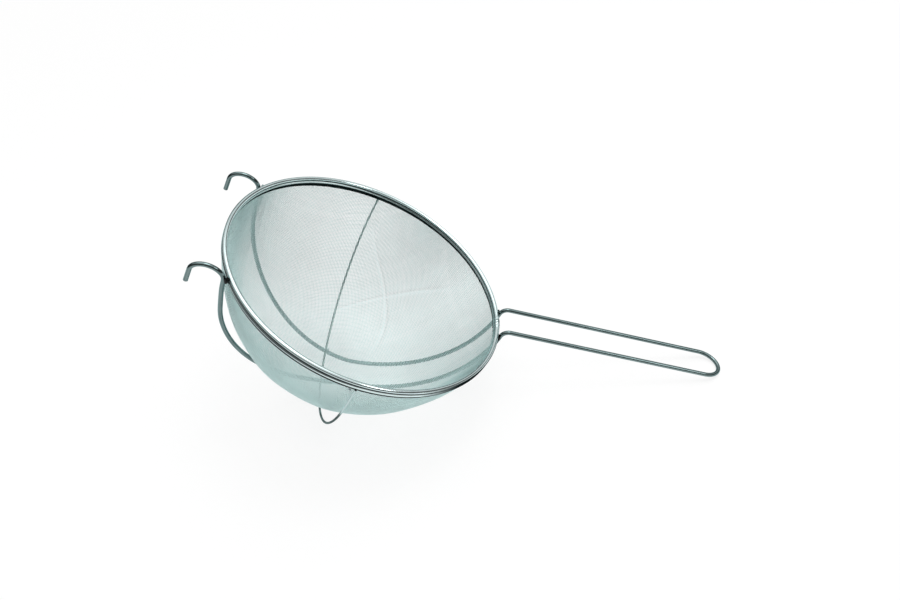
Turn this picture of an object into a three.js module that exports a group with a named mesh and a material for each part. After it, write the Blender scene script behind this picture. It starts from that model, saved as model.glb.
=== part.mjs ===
// Kitchen sieve in stainless steel: a woven wire bowl clamped in a crimped rim, carried by a bent wire
// frame with a handle loop, two stays under the bowl and two hooks that hang over the edge of a pot.
// Millimetres, +Z up. The sieve is drawn level, about the centre of its rim, with the handle along +X.
// It is then leaned until its stays and the end of its handle stand on the worktop.

import * as THREE from 'three';

// Rim: a strip folded over the edge of the bowl and rolled to two beads with a groove between them
const RIM_OUTER_DIAMETER = 260;
const RIM_WIDTH = 4.2;
const RIM_UPPER_BEAD = 3.2;
const RIM_LOWER_BEAD = 4.8;
const RIM_GROOVE_DEPTH = 0.9;
const STRIP_THICKNESS = 0.8;

// Bowl: woven wire cloth, flatter at the bottom than a sphere and sloping in below the rim. It is drawn as
// a coarse grid, one wire thick, that is about as open as the cloth and weighs as much.
const CLOTH_THICKNESS = 0.35;
const CLOTH_CLAMPED = 3;
const GRID_ROWS = 5;
const GRID_COLUMNS = 20;
const GRID_BAR_SHARE = 0.22;
const BOWL_STAY_GAP = 11.7;
const BOWL_BOTTOM_POWER = 2.9;
const BOWL_SIDE_POWER = 1.3;

// Frame wire: the same wire makes the handle, the stays and the hooks
const FRAME_WIRE_DIAMETER = 4;
const HANDLE_SPACING = 30.5;
const HANDLE_REACH = 216;
const HANDLE_SLOPE_DEGREES = 11;
const HANDLE_BEND_RADIUS = 8;
const HANDLE_BEND_HEIGHT = 0.5;
const HANDLE_BOW_LENGTH = 17.5;
const STAY_DEPTH = 129.5;
const STAY_SPREAD_START = 29;
const STAY_SPREAD_POWER = 1.4;
const HOOK_SPACING = 129;
const HOOK_GAP = 23;
const HOOK_RISE = 10;
const HOOK_TIP_LENGTH = 13;

// Cross wire: a U under the bowl that lies on the stays
const CROSS_WIRE_DIAMETER = 2;
const CROSS_WIRE_OFFSET = 1.5;
const CROSS_WIRE_LEG = 15;
const CROSS_WIRE_TURN_DEGREES = 1.6;

// Weld beads
const WELD_DIAMETER = 2;
const WELD_LENGTH = 6;

// Clearance kept between neighbouring pieces
const CLEARANCE = 0.3;

// Facets
const ROUND_SEGMENTS = 60;
const RIM_DIVISIONS = 14;
const GAP_DIVISIONS = 2;
const FRAME_WIRE_SIDES = 12;
const CROSS_WIRE_SIDES = 8;
const HANDLE_STEP = 3.6;
const STAY_STEP = 7;
const HOOK_STEP = 3;
const CROSS_STEP = 9;
const WELD_SIDES = 6;
const WELD_RINGS = 5;

// Sizes that follow from the driving dimensions
const rimOuterRadius = RIM_OUTER_DIAMETER / 2;
const clothRadius = rimOuterRadius - RIM_WIDTH / 2;
const frameRadius = FRAME_WIRE_DIAMETER / 2;
const crossRadius = CROSS_WIRE_DIAMETER / 2;
const weldRadius = WELD_DIAMETER / 2;
const handleSlope = THREE.MathUtils.degToRad(HANDLE_SLOPE_DEGREES);
const crossTurn = THREE.MathUtils.degToRad(CROSS_WIRE_TURN_DEGREES);
const handleHalf = HANDLE_SPACING / 2;
const hookHalf = HOOK_SPACING / 2;
const hookHalfGap = (HOOK_GAP + FRAME_WIRE_DIAMETER) / 2;

// The frame wire runs up the outside of the rim, and the cross wire ends under its lower bead
const frameRing = rimOuterRadius + CLEARANCE + frameRadius;
const crossRing = clothRadius + CLOTH_THICKNESS / 2 + CLEARANCE + crossRadius;
const handleFoot = Math.sqrt(frameRing ** 2 - handleHalf ** 2);
const hookFoot = -Math.sqrt(frameRing ** 2 - hookHalf ** 2);
const rimBottom = -RIM_LOWER_BEAD;

// The bowl's bottom keeps its gap to the stays that pass under it
const bowlDepth = STAY_DEPTH - frameRadius - BOWL_STAY_GAP - RIM_LOWER_BEAD;

const point = (x, y, z) => new THREE.Vector3(x, y, z);

function formulaCurve(pointAt) {
  const curve = new THREE.Curve();
  curve.arcLengthDivisions = 600;
  curve.getPoint = pointAt;
  return curve;
}

// A round wire: a regular polygon, with flats across its axes, swept along a curve
function wire(curve, diameter, sides, step) {
  const corners = [];
  for (let i = 0; i < sides; i += 1) {
    const angle = ((i + 0.5) / sides) * 2 * Math.PI;
    corners.push(new THREE.Vector2(Math.cos(angle), Math.sin(angle)).multiplyScalar(diameter / 2));
  }
  const steps = Math.ceil(curve.getLength() / step);
  return new THREE.ExtrudeGeometry(new THREE.Shape(corners), { steps, bevelEnabled: false, extrudePath: curve });
}

// One face of a sheet that follows a centre line
function sheetFace(line, offset) {
  return line.map((place, i) => {
    const before = line[Math.max(i - 1, 0)];
    const after = line[Math.min(i + 1, line.length - 1)];
    const along = after.clone().sub(before).normalize().multiplyScalar(offset);
    const onAxis = place.x === 0;
    return new THREE.Vector2(onAxis ? 0 : place.x + along.y, place.y - along.x);
  });
}

// The closed outline of a sheet of even thickness that follows a centre line
function sheetOutline(line, thickness) {
  return [...sheetFace(line, thickness / 2), ...sheetFace(line, -thickness / 2).reverse()];
}

// An outline turned about the vertical axis
function turned(outline) {
  return new THREE.LatheGeometry(outline, ROUND_SEGMENTS).rotateX(Math.PI / 2);
}

// A sheet turned about the vertical axis, with cells left open. The places on its line part it into rows,
// the turns part it into columns, and a wall closes the sheet's thickness beside each open cell.
function openSheet(line, thickness, turns, isOpen) {
  const positions = [];
  const indices = [];
  for (const offset of [thickness / 2, -thickness / 2]) {
    for (const place of sheetFace(line, offset)) {
      for (const turn of turns) positions.push(place.x * Math.cos(turn), place.x * Math.sin(turn), place.y);
    }
  }
  const topRow = line.length - 1;
  const column = (index) => (index + turns.length) % turns.length;
  const corner = (face, row, index) => (face * line.length + row) * turns.length + column(index);
  const quad = (a, b, c, d) => indices.push(a, b, c, a, c, d);
  const isSolid = (row, index) => row < 0 || (row < topRow && !isOpen(row, column(index)));
  for (let row = 0; row < topRow; row += 1) {
    for (let index = 0; index < turns.length; index += 1) {
      if (!isSolid(row, index)) continue;
      const [outer, inner] = [0, 1].map((face) => [
        corner(face, row, index),
        corner(face, row, index + 1),
        corner(face, row + 1, index + 1),
        corner(face, row + 1, index),
      ]);
      quad(...outer);
      quad(...inner.slice().reverse());
      const neighbours = [[row - 1, index], [row, index + 1], [row + 1, index], [row, index - 1]];
      neighbours.forEach((neighbour, side) => {
        const next = (side + 1) % 4;
        if (!isSolid(...neighbour)) quad(outer[next], outer[side], inner[side], inner[next]);
      });
    }
  }
  const sheet = new THREE.BufferGeometry();
  sheet.setAttribute('position', new THREE.Float32BufferAttribute(positions, 3));
  sheet.setIndex(indices);
  sheet.computeVertexNormals();
  return sheet;
}

// Rim strip: one wall bellies out at each bead, pinches the cloth at its lip and folds over the top
function rimStrip() {
  const belly = (RIM_WIDTH - STRIP_THICKNESS) / 2;
  const lip = CLOTH_THICKNESS / 2 + CLEARANCE + STRIP_THICKNESS / 2;
  const wall = [
    [lip, rimBottom],
    [belly, rimBottom / 2],
    [belly - RIM_GROOVE_DEPTH, 0],
    [belly, RIM_UPPER_BEAD / 2],
  ];
  const crown = [0, RIM_UPPER_BEAD - STRIP_THICKNESS / 2];
  const inside = wall.map(([across, up]) => [-across, up]);
  const places = [...inside, crown, ...wall.slice().reverse()];
  const centreLine = new THREE.SplineCurve(
    places.map(([across, up]) => new THREE.Vector2(clothRadius + across, up)),
  ).getPoints(RIM_DIVISIONS);
  const outline = sheetOutline(centreLine, STRIP_THICKNESS);
  return turned([...outline, outline[0]]);
}

// Woven bowl: the dome hangs from the rim's lower edge, and its edge stands up inside the strip. Bars and
// gaps take turns up the dome and around it.
function barsAndGaps(count) {
  const places = [];
  for (let i = 0; i < count; i += 1) {
    places.push({ at: i / count, isGap: false });
    for (let j = 0; j < GAP_DIVISIONS; j += 1) {
      const share = THREE.MathUtils.lerp(GRID_BAR_SHARE, 1, j / GAP_DIVISIONS);
      places.push({ at: (i + share) / count, isGap: true });
    }
  }
  return places;
}

function meshBowl() {
  const dome = formulaCurve((t) => {
    const angle = t * (Math.PI / 2);
    const radius = clothRadius * Math.sin(angle) ** (2 / BOWL_BOTTOM_POWER);
    const drop = bowlDepth * Math.max(Math.cos(angle), 0) ** (2 / BOWL_SIDE_POWER);
    return new THREE.Vector2(radius, rimBottom - drop);
  });
  const rows = barsAndGaps(GRID_ROWS);
  const columns = barsAndGaps(GRID_COLUMNS);
  const line = [...rows.map(({ at }) => at), 1].map((at) => dome.getPointAt(at));
  line.push(new THREE.Vector2(clothRadius, rimBottom + CLOTH_CLAMPED));
  const halfBar = GRID_BAR_SHARE / GRID_COLUMNS / 2;
  const turns = columns.map(({ at }) => (at - halfBar) * 2 * Math.PI);
  const isOpen = (row, index) => row < rows.length && rows[row].isGap && columns[index].isGap;
  return openSheet(line, CLOTH_THICKNESS, turns, isOpen);
}

// Stay: two quarter ellipses that meet under the rim's centre. It runs level with its handle leg, then
// spreads out to its hook. The rim's height is where the wire lies against the rim.
const handleDrop = STAY_DEPTH + HANDLE_BEND_HEIGHT;
const rimTurn = Math.asin((HANDLE_BEND_HEIGHT - rimBottom) / handleDrop);
const handleRun = handleFoot / Math.cos(rimTurn);

function stayPlace(turn) {
  const toHook = turn < 0;
  const x = toHook ? hookFoot * Math.sin(-turn) : handleRun * Math.sin(turn);
  const z = toHook ? -STAY_DEPTH * Math.cos(turn) : HANDLE_BEND_HEIGHT - handleDrop * Math.cos(turn);
  const spread = Math.max(0, (STAY_SPREAD_START - x) / (STAY_SPREAD_START - hookFoot));
  return point(x, handleHalf + (hookHalf - handleHalf) * spread ** STAY_SPREAD_POWER, z);
}

// The wire is parted at the rim's lower edge, half a clearance to each side
const hookEndTurn = -Math.acos((-rimBottom + CLEARANCE / 2) / STAY_DEPTH);
const handleEndTurn = Math.PI / 2 - Math.asin((HANDLE_BEND_HEIGHT - rimBottom + CLEARANCE / 2) / handleDrop);

function stayCurve(side) {
  return formulaCurve((t) => {
    const place = stayPlace(THREE.MathUtils.lerp(hookEndTurn, handleEndTurn, t));
    return place.setY(side * place.y);
  });
}

// Hook: up past the rim's lower bead, over in half an ellipse and down to a cut tip
function hookCurve(side) {
  const tip = hookFoot - 2 * hookHalfGap;
  const start = rimBottom + CLEARANCE / 2;
  const path = new THREE.Path();
  path.moveTo(hookFoot, start);
  path.lineTo(hookFoot, start + CLEARANCE);
  path.absellipse(hookFoot - hookHalfGap, start + CLEARANCE, hookHalfGap, HOOK_RISE, 0, Math.PI);
  path.lineTo(tip, start - HOOK_TIP_LENGTH);
  return formulaCurve((t) => {
    const place = path.getPointAt(t);
    return point(place.x, side * hookHalf, place.y);
  });
}

// Handle: each leg rises past the rim, bends out and runs to the bow, all on one sloping surface
function handleSide() {
  const start = rimBottom + CLEARANCE / 2;
  const bendEnd = Math.PI / 2 + handleSlope;
  const bendX = handleRun + HANDLE_BEND_RADIUS;
  const legStart = bendX + HANDLE_BEND_RADIUS * Math.cos(bendEnd);
  const legLow = HANDLE_BEND_HEIGHT + HANDLE_BEND_RADIUS * Math.sin(bendEnd);
  const tip = rimOuterRadius + HANDLE_REACH;
  const path = new THREE.Path();
  path.moveTo(handleRun * Math.cos(rimTurn), start);
  path.lineTo(handleRun, HANDLE_BEND_HEIGHT);
  path.absarc(bendX, HANDLE_BEND_HEIGHT, HANDLE_BEND_RADIUS, Math.PI, bendEnd, true);
  path.lineTo(tip, legLow + (tip - legStart) * Math.tan(handleSlope));
  return path;
}

function handleCurve() {
  const sidePath = handleSide();
  const length = sidePath.getLength();
  const legLength = length - HANDLE_BOW_LENGTH;
  const bowArc = (Math.PI / 2) * Math.sqrt((HANDLE_BOW_LENGTH ** 2 + handleHalf ** 2) / 2);
  const half = legLength + bowArc;
  return formulaCurve((t) => {
    const run = (t < 0.5 ? t : 1 - t) * 2 * half;
    const side = t < 0.5 ? 1 : -1;
    const turn = Math.max(0, (run - legLength) / bowArc) * (Math.PI / 2);
    const along = Math.min(run, legLength) + HANDLE_BOW_LENGTH * Math.sin(turn);
    const place = sidePath.getPointAt(along / length);
    return point(place.x, side * handleHalf * Math.cos(turn), place.y);
  });
}

// Cross wire: a U in an upright plane a little off the middle and a little askew. Its bottom is set so
// that it lies on both stays where it crosses them.
function stayTurnAt(x) {
  return x < 0 ? -Math.asin(x / hookFoot) : Math.asin(x / handleRun);
}

function crossingAt(side) {
  const y = stayPlace(stayTurnAt(CROSS_WIRE_OFFSET)).y;
  const x = CROSS_WIRE_OFFSET / Math.cos(crossTurn) - side * y * Math.tan(crossTurn);
  return stayPlace(stayTurnAt(x));
}

const crossHalf = Math.sqrt(crossRing ** 2 - CROSS_WIRE_OFFSET ** 2);
const crossTop = rimBottom - CLEARANCE;
const crossSpring = crossTop - CROSS_WIRE_LEG;
const crossDrop = Math.min(...[1, -1].map((side) => {
  const crossing = crossingAt(side);
  const low = crossing.z + frameRadius + CLEARANCE + crossRadius;
  return (crossSpring - low) / Math.sqrt(1 - (crossing.y / crossHalf) ** 2);
}));
const crossPlace = (across, up) => point(CROSS_WIRE_OFFSET, across, up).applyAxisAngle(point(0, 0, 1), crossTurn);

function crossCurve() {
  const path = new THREE.Path();
  path.moveTo(crossHalf, crossTop);
  path.lineTo(crossHalf, crossSpring);
  path.absellipse(0, crossSpring, crossHalf, crossDrop, 0, Math.PI, true);
  path.lineTo(-crossHalf, crossTop);
  return formulaCurve((t) => {
    const place = path.getPointAt(t);
    return crossPlace(place.x, place.y);
  });
}

// Weld beads: small ellipsoids in the crook between the two pieces that they join
function weldBead(place, direction) {
  const bead = new THREE.SphereGeometry(1, WELD_SIDES, WELD_RINGS).scale(WELD_LENGTH / 2, weldRadius, weldRadius);
  const turn = new THREE.Quaternion().setFromUnitVectors(point(1, 0, 0), direction);
  return bead.applyQuaternion(turn).translate(place.x, place.y, place.z);
}

// Upright, between the rim's outer face and a wire of the frame
function frameWeld(wireX, wireY) {
  const ring = rimOuterRadius + CLEARANCE + weldRadius;
  const beside = (frameRadius + CLEARANCE + weldRadius) / ring;
  const angle = Math.atan2(wireY, wireX) + Math.sign(wireX * wireY) * beside;
  const height = (RIM_UPPER_BEAD + rimBottom) / 2;
  return weldBead(point(ring * Math.cos(angle), ring * Math.sin(angle), height), point(0, 0, 1));
}

// Along the rim's lower edge, next to the end of the cross wire
function crossEndWeld(side) {
  const ring = clothRadius + CLOTH_THICKNESS / 2 + CLEARANCE + weldRadius;
  const beside = (crossRadius + CLEARANCE + WELD_LENGTH / 2) / ring;
  const end = crossPlace(side * crossHalf, crossTop);
  const angle = Math.atan2(end.y, end.x) + side * beside;
  const place = point(ring * Math.cos(angle), ring * Math.sin(angle), crossTop - weldRadius);
  return weldBead(place, point(-Math.sin(angle), Math.cos(angle), 0));
}

// Along the cross wire, where it lies on a stay
function crossingWeld(side) {
  const crossing = crossingAt(side);
  const reach = weldRadius + CLEARANCE;
  const place = point(
    crossing.x + crossRadius + reach,
    side * crossing.y,
    crossing.z + frameRadius + reach,
  );
  return weldBead(place, point(0, 1, 0));
}

// Materials
const steel = (color, roughness) => new THREE.MeshStandardMaterial({ color, roughness, metalness: 1 });
const WIRE_STEEL = 0xc3cac8;
const RIM_STEEL = 0xcdd3d1;
const CLOTH_STEEL = 0xb9c3c0;
const WELD_STEEL = 0x6e716d;

// Assembly, level
const level = new THREE.Group();

function add(name, geometry, color, roughness) {
  const mesh = new THREE.Mesh(geometry, steel(color, roughness));
  mesh.name = name;
  level.add(mesh);
}

const frameWire = (curve, step) => wire(curve, FRAME_WIRE_DIAMETER, FRAME_WIRE_SIDES, step);

add('mesh_bowl', meshBowl(), CLOTH_STEEL, 0.45);
add('rim_strip', rimStrip(), RIM_STEEL, 0.2);
add('handle_loop', frameWire(handleCurve(), HANDLE_STEP), WIRE_STEEL, 0.2);
add('cross_wire', wire(crossCurve(), CROSS_WIRE_DIAMETER, CROSS_WIRE_SIDES, CROSS_STEP), WIRE_STEEL, 0.25);
for (const [label, side] of [['left', 1], ['right', -1]]) {
  add(`stay_${label}`, frameWire(stayCurve(side), STAY_STEP), WIRE_STEEL, 0.2);
  add(`hook_${label}`, frameWire(hookCurve(side), HOOK_STEP), WIRE_STEEL, 0.2);
  add(`weld_hook_${label}`, frameWeld(hookFoot, side * hookHalf), WELD_STEEL, 0.6);
  add(`weld_handle_${label}`, frameWeld(handleFoot, side * handleHalf), WELD_STEEL, 0.6);
  add(`weld_cross_${label}`, crossEndWeld(side), WELD_STEEL, 0.6);
  add(`weld_crossing_${label}`, crossingWeld(side), WELD_STEEL, 0.6);
}

// Lean: the angle at which the stays and the handle's bow touch the worktop together
function restLean() {
  const stays = stayCurve(1).getSpacedPoints(400);
  const handle = handleCurve().getSpacedPoints(400);
  const lowest = (places, lean) => Math.min(...places.map((p) => p.z * Math.cos(lean) - p.x * Math.sin(lean)));
  let under = 0;
  let over = Math.PI / 2;
  for (let i = 0; i < 50; i += 1) {
    const lean = (under + over) / 2;
    if (lowest(handle, lean) > lowest(stays, lean)) under = lean;
    else over = lean;
  }
  return under;
}

level.rotation.y = restLean();

// The origin is at the centre of the sieve's footprint, on the worktop
const sieve = new THREE.Group();
sieve.add(level);
sieve.updateMatrixWorld(true);
const extent = new THREE.Box3().setFromObject(sieve, true);
level.position.set(-(extent.min.x + extent.max.x) / 2, 0, -extent.min.z);

export default sieve;
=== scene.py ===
import math

import bmesh
import bpy
import numpy as np
from mathutils import Matrix, Vector, noise


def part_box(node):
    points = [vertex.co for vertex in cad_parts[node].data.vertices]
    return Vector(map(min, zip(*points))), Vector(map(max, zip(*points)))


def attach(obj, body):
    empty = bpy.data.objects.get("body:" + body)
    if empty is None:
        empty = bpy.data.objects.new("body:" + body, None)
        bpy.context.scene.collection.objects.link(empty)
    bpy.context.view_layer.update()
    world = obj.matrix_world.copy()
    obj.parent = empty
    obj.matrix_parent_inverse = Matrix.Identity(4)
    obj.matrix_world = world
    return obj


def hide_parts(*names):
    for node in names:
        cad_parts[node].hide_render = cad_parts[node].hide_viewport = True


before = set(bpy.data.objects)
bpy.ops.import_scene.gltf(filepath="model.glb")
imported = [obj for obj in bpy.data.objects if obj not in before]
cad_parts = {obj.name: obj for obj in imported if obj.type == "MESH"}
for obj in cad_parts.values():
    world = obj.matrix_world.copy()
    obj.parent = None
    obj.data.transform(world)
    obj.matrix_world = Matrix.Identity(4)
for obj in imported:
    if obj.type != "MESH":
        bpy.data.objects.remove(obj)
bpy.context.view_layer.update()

# Sizes of the sieve in millimetres, drawn with the rim level at height 0 and the handle along +X,
# with the shares and the counts of points that go with them
RIM_OUTER_RADIUS = 130.0
CLOTH_RADIUS = 127.9
FRAME_RING = 132.3
CROSS_RING = 129.29
RIM_BOTTOM = -4.8
RIM_SECTION = [(0.875, -4.8), (1.7, -2.4), (0.8, 0.0), (1.7, 1.6), (0.0, 2.8)]
STRIP_THICKNESS = 0.8
RIM_STEPS = 600
RIM_CURVE_STEPS = 6
RIM_SHARP = 50.0
SEAM_GAP = 0.25
SEAM_REACH = 8.5
SEAM_CUTS = 2
SEAM_LUMP = 0.55
SEAM_LUMP_SIZE = 1.1
SEAM_LUMP_BASE = 0.35
SAME_HEIGHT = 1e-4
# Painted shade in the rim's groove and under its lower bead, less of it outside on the hooks' side, and a
# painted dark reflection along the outer edge right of the handle
GROOVE_HALF = 0.9
GROOVE_MIDDLE = -0.1
LIP_SHADE_TOP = -2.5
LIP_SHADE_DEPTH = 0.4
GROOVE_HALF_INSIDE = 0.7
LIP_SHADE_TOP_INSIDE = -2.1
# A lower inner edge under painted shade, standing in for the shadow beneath the rim
SHADOW_LIP_DROP = 1.8
SHADOW_LIP_MIDDLE = math.radians(115.0)
SHADOW_LIP_TURN = math.radians(85.0)
HOOK_SIDE_TURN = math.radians(23.0)
HOOK_SIDE_SHADE = 0.35
DARK_EDGE_MIDDLE = math.radians(-22.0)
DARK_EDGE_TURN = math.radians(42.0)
DARK_EDGE_FADE = math.radians(18.0)
DARK_EDGE_OUT = 1.2
DARK_EDGE_SHARP = 0.3

CLOTH_TOP = -1.8
BOWL_DEPTH = 111.0
BOWL_BOTTOM_POWER = 2.9
BOWL_SIDE_POWER = 1.3
BOWL_DRIFT = 0.024
BOWL_LINE_POINTS = 4001
CLOTH_PITCH = 1.5
CLOTH_WIRE = 0.4
CLOTH_ROUND = 0
CLOTH_TURN = math.radians(20.0)
CLOTH_PIECES = 3
FOLD_DOWN = [(119.4, 3.2), (90.9, 32.7), (77.2, 41.7)]
FOLD_ACROSS = [(6.3, 62.9), (41.7, 77.2), (84.1, 74.1)]
FOLD_MIDDLE = (41.7, 77.2)
FOLD_REACH = 62.0
FOLD_FADE = 30.0
FOLD_WIDE = 1.2
FOLD_VALLEY = 0.8
FOLD_VALLEY_STEP = 2.2
FOLD_DEPTH = 0.5
FOLD_TINT = 0.8
DENT_DEPTH = 0.6
DENT_SIZE = 38.0
DENT_FADE = 18.0

FRAME_WIRE = 4.0
FRAME_ROUND = 12
FRAME_STEP = 1.2
WIRE_SHARP = 35.0
HANDLE_HALF = 15.25
HANDLE_TIP = 345.99
HANDLE_SLOPE = math.radians(11.0)
HANDLE_BEND_RADIUS = 8.0
HANDLE_BEND_HEIGHT = 0.5
HANDLE_BEND_POINTS = 25
HANDLE_BOW = 17.5
HANDLE_BOW_POINTS = 41
STAY_DEPTH = 129.5
STAY_POINTS = 161
STAY_SPREAD_START = 29.0
STAY_SPREAD_POWER = 1.4
STAY_TUCK = 1.0
STAY_TUCK_DEPTH = 27.0
STAY_TUCK_REACH = 16.0
HOOK_HALF = 64.5
HOOK_HALF_GAP = 13.5
HOOK_RISE = 9.87
HOOK_TIP = 13.0
HOOK_START = RIM_BOTTOM + 0.15
HOOK_BEND = RIM_BOTTOM + 0.45
HOOK_POINTS = 61
CHAMFER = 0.45
CHAMFER_SHARE = 0.3

CROSS_WIRE = 2.0
CROSS_ROUND = 4
CROSS_STEP = 1.6
CROSS_OFFSET = 1.5
CROSS_LEG = 15.0
CROSS_POINTS = 121
CROSS_TURN = math.radians(1.6)
CROSS_TOP = RIM_BOTTOM - 0.3
CROSSING_RISE = 3.3
# Darker, duller patches over the thin wire, none at its right end
PATCH_DARKNESS = 0.5
PATCH_FREE_END = -129.1
PATCH_FADE = 2.0

HANDLE_FOOT = math.sqrt(FRAME_RING**2 - HANDLE_HALF**2)
HOOK_FOOT = -math.sqrt(FRAME_RING**2 - HOOK_HALF**2)
HANDLE_DROP = STAY_DEPTH + HANDLE_BEND_HEIGHT
RIM_TURN = math.asin((HANDLE_BEND_HEIGHT - RIM_BOTTOM) / HANDLE_DROP)
HANDLE_RUN = HANDLE_FOOT / math.cos(RIM_TURN)

# The sieve leans on its stays and its handle's end, in metres
LEAN = math.radians(29.857666540341402)
MM = 0.001
LEANED = (
    Matrix.Translation((-0.0961489439, 0.0, 0.1319419791))
    @ Matrix.Rotation(LEAN, 4, "Y")
    @ Matrix.Scale(MM, 4)
)


def leaned(points):
    """Level millimetres to the frame's metres."""
    turned = np.asarray(points, float) @ np.array(LEANED.to_3x3()).T
    return turned + np.array(LEANED.translation)


# Materials
def nodes_of(material):
    """A material's node tree, emptied."""
    material.use_nodes = True
    material.node_tree.nodes.clear()
    return material.node_tree


def put(tree, kind, **settings):
    """A new node, with its sockets and options set by name."""
    made = tree.nodes.new(kind)
    for name, value in settings.items():
        if name in made.inputs:
            made.inputs[name].default_value = value
        else:
            setattr(made, name, value)
    return made


def join(tree, start, end):
    tree.links.new(start, end)


def stretched_noise(tree, vector, scale, detail, roughness=0.55):
    """Noise of its own scale along each of the vector's axes."""
    mapping = put(tree, "ShaderNodeMapping", Scale=scale)
    join(tree, vector, mapping.inputs["Vector"])
    grain = put(tree, "ShaderNodeTexNoise", Scale=1.0, Detail=detail, Roughness=roughness)
    join(tree, mapping.outputs["Vector"], grain.inputs["Vector"])
    return grain.outputs["Fac"]


def ramp(tree, value, stops):
    """Colours by a value, given as pairs of a value and its colour."""
    made = put(tree, "ShaderNodeValToRGB")
    elements = made.color_ramp.elements
    while len(elements) < len(stops):
        elements.new(0.5)
    for element, (place, colour) in zip(elements, stops):
        element.position = place
        element.color = (*colour, 1.0)
    join(tree, value, made.inputs["Fac"])
    return made.outputs["Color"]


def spread(tree, value, low, high, start=0.3, end=0.7):
    """The value from start to end, made to run from low to high."""
    made = put(tree, "ShaderNodeMapRange")
    made.inputs["From Min"].default_value = start
    made.inputs["From Max"].default_value = end
    made.inputs["To Min"].default_value = low
    made.inputs["To Max"].default_value = high
    join(tree, value, made.inputs["Value"])
    return made.outputs["Result"]


def blend_colour(tree, share, first, second):
    """The first colour where the share is 0 and the second where it is 1."""
    made = put(tree, "ShaderNodeMix", data_type="RGBA", clamp_factor=True)
    join(tree, share, made.inputs[0])
    join(tree, first, made.inputs[6])
    join(tree, second, made.inputs[7])
    return made.outputs[2]


def duller(tree, gloss, share, amount):
    """The roughness raised by an amount where the share is 1."""
    made = put(tree, "ShaderNodeMath", operation="MULTIPLY_ADD", use_clamp=True)
    made.inputs[1].default_value = amount
    join(tree, share, made.inputs[0])
    join(tree, gloss, made.inputs[2])
    return made.outputs[0]


STEEL_EDGE = (0.66, 0.84, 0.84, 1.0)
CLOTH_EDGE = (0.96, 1.0, 1.0, 1.0)
RELIEF = 0.0003
LINE_DETAIL = 5.0
LINE_SHARE = 0.6
DARK_AT = 0.34
PALE_AT = 0.66
SPOT_DETAIL = 3.0
# Painted shade: the matt near-black laid into the rim's creases
PAINTED_SHADE_TONES = [(0.3, (0.006, 0.012, 0.012)), (0.7, (0.025, 0.042, 0.042))]
# Painted highlight along the fold crests and painted shade in the valleys beside them
PAINTED_CREST_LIGHT = [(0.3, (0.76, 0.95, 0.95)), (0.7, (0.82, 1.0, 1.0))]
PAINTED_VALLEY_SHADE = [(0.3, (0.36, 0.48, 0.47)), (0.7, (0.44, 0.57, 0.56))]
VALLEY_SHADE_SHARE = 0.8
PATCH_TINTS = [(0.35, (0.16, 0.19, 0.18)), (0.65, (0.05, 0.055, 0.055)), (1.0, (0.01, 0.012, 0.012))]
PATCH_RANGE = (0.55, 1.3)
PATCH_SHOWS = (0.06, 0.4)
PATCH_DULL = 0.3


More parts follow.
